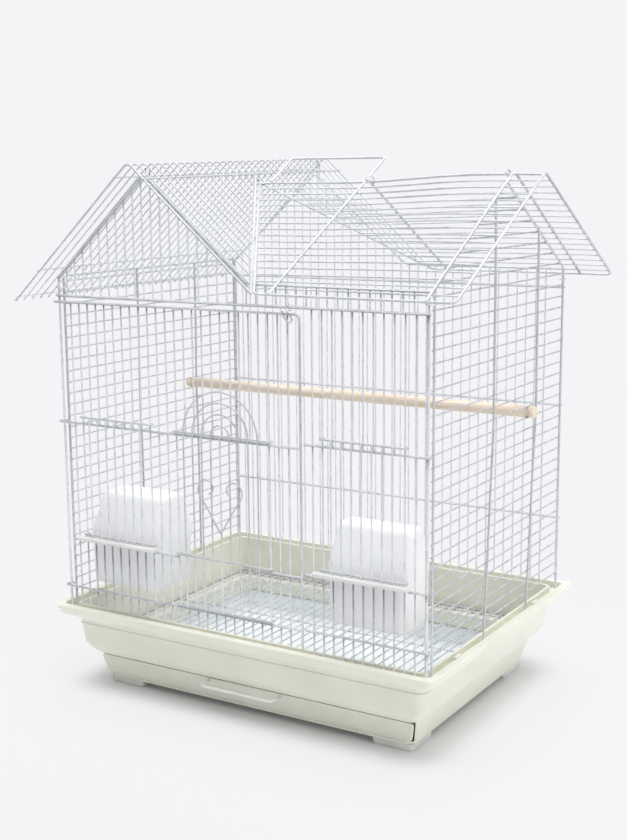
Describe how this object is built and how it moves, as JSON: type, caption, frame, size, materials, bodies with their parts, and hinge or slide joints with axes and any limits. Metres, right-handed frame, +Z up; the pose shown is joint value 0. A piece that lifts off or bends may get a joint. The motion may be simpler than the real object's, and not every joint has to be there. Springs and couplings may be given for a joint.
{
  "type": "roof top bird cage",
  "caption": "Wire bird cage with a cross-gabled roof, opening roof lid, hinged front door, small sliding doors, hooded feeders, a perch, floor grille and slide-out drawer.",
  "frame": {"origin": "centre of the cage on the floor, below the centre of its outline", "axes": "+Z up, front facing -Y, the low roof and its lid on the +X side"},
  "size_m": [0.506, 0.3736, 0.5652],
  "materials": {
    "coated_wire": "white coated steel wire, satin",
    "ivory_plastic": "ivory moulded plastic, satin",
    "grey_foot_plastic": "grey moulded feet, matt",
    "drawer_plastic": "ivory moulded drawer, satin",
    "feeder_plastic": "frosted translucent white plastic",
    "beech": "plain pale wood dowel",
    "zinc_clip": "bright zinc wire rings"
  },
  "bodies": {
    "cage": {"back_panel": "coated_wire", "back_rail_lower": "coated_wire", "back_rail_middle": "coated_wire", "back_rail_upper": "coated_wire", "base_tray": "ivory_plastic", "clip_ring_back_gable": "zinc_clip", "clip_ring_back_left": "zinc_clip", "clip_ring_back_right": "zinc_clip", "clip_ring_front_gable": "zinc_clip", "clip_ring_front_left": "zinc_clip", "clip_ring_front_right": "zinc_clip", "floor_grille": "coated_wire", "foot_back_left": "grey_foot_plastic", "foot_back_right": "grey_foot_plastic", "foot_front_left": "grey_foot_plastic", "foot_front_right": "grey_foot_plastic", "front_panel": "coated_wire", "grille_cross_wire_1": "coated_wire", "grille_cross_wire_2": "coated_wire", "grille_cross_wire_3": "coated_wire", "left_panel": "coated_wire", "left_panel_back_post": "coated_wire", "left_panel_front_post": "coated_wire", "low_roof_back": "coated_wire", "low_roof_back_support_1": "coated_wire", "low_roof_back_support_2": "coated_wire", "perch": "beech", "ridge_ring_left": "zinc_clip", "ridge_ring_middle": "zinc_clip", "ridge_ring_right": "zinc_clip", "right_feeder": "feeder_plastic", "right_panel": "coated_wire", "right_panel_back_post": "coated_wire", "right_panel_front_post": "coated_wire", "rim_clip_left_back": "ivory_plastic", "rim_clip_left_front": "ivory_plastic", "rim_clip_right_back": "ivory_plastic", "rim_clip_right_front": "ivory_plastic", "tall_roof": "coated_wire"},
    "front_door": {"front_door": "coated_wire", "left_feeder": "feeder_plastic"},
    "rainbow_door": {"rainbow_door": "coated_wire", "rainbow_door_heart": "coated_wire"},
    "left_feeder_door": {"left_feeder_door": "coated_wire"},
    "right_feeder_door": {"right_feeder_door": "coated_wire"},
    "latch": {"latch_hook": "zinc_clip"},
    "roof_lid": {"roof_lid": "coated_wire", "roof_lid_support_1": "coated_wire", "roof_lid_support_2": "coated_wire", "lid_stop_loop": "coated_wire"},
    "drawer": {"drawer": "drawer_plastic", "drawer_handle": "coated_wire"}
  },
  "joints": [
    {"name": "front_door_hinge", "type": "hinge", "parent": "cage", "child": "front_door", "pos_m": [-0.2145, -0.1602, 0.25], "axis": [0, 0, -1], "range_deg": [0, 120]},
    {"name": "rainbow_door_slide", "type": "slide", "parent": "front_door", "child": "rainbow_door", "axis": [0, 0, 1], "range_m": [0, 0.114]},
    {"name": "left_feeder_door_slide", "type": "slide", "parent": "front_door", "child": "left_feeder_door", "axis": [0, 0, 1], "range_m": [0, 0.114]},
    {"name": "right_feeder_door_slide", "type": "slide", "parent": "cage", "child": "right_feeder_door", "axis": [0, 0, 1], "range_m": [0, 0.114]},
    {"name": "latch_turn", "type": "hinge", "parent": "cage", "child": "latch", "pos_m": [0.07, -0.1602, 0.4256], "axis": [-1, 0, 0], "range_deg": [0, 100]},
    {"name": "roof_lid_hinge", "type": "hinge", "parent": "cage", "child": "roof_lid", "pos_m": [0.08, -0.0018, 0.54366], "axis": [-1, 0, 0], "range_deg": [0, 20]},
    {"name": "drawer_slide", "type": "slide", "parent": "cage", "child": "drawer", "axis": [0, -1, 0], "range_m": [0, 0.24]}
  ]
}
